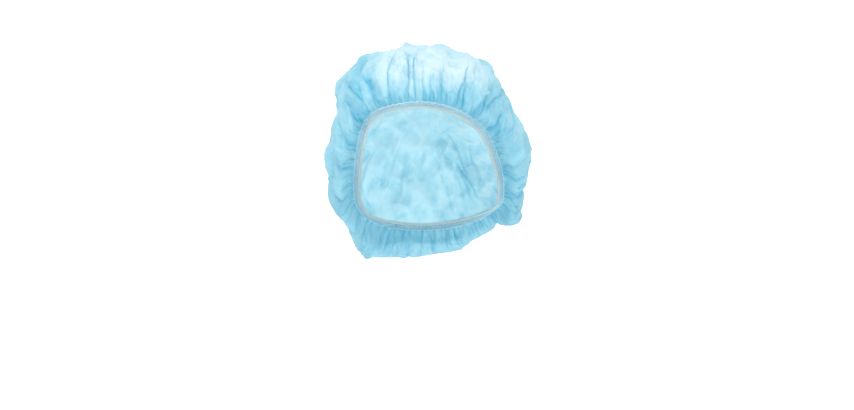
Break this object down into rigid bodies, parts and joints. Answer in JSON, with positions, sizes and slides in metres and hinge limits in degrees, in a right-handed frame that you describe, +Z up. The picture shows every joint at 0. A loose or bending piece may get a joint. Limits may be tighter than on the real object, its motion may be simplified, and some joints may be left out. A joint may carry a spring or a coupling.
{
  "type": "disposable bouffant cap",
  "caption": "Loose round cap of thin light-blue non-woven cloth, gathered into a narrow hem with an elastic, in the form it takes on a head.",
  "frame": {"origin": "where the top of the wearer's head sits, under the loose crown", "axes": "+Z up from the head, -Y out of the front over the forehead, +X towards the wearer's left"},
  "size_m": [0.2171, 0.2377, 0.2269],
  "materials": {
    "crown_cloth": "thin translucent light-blue spun-bonded polypropylene, matt",
    "hem_cloth": "the same cloth folded double over the crown's edge, a deeper blue",
    "elastic_band": "narrow flat elastic covered in pale thread"
  },
  "bodies": {
    "root": {"crown": "crown_cloth", "hem": "hem_cloth", "elastic": "elastic_band"}
  },
  "joints": []
}
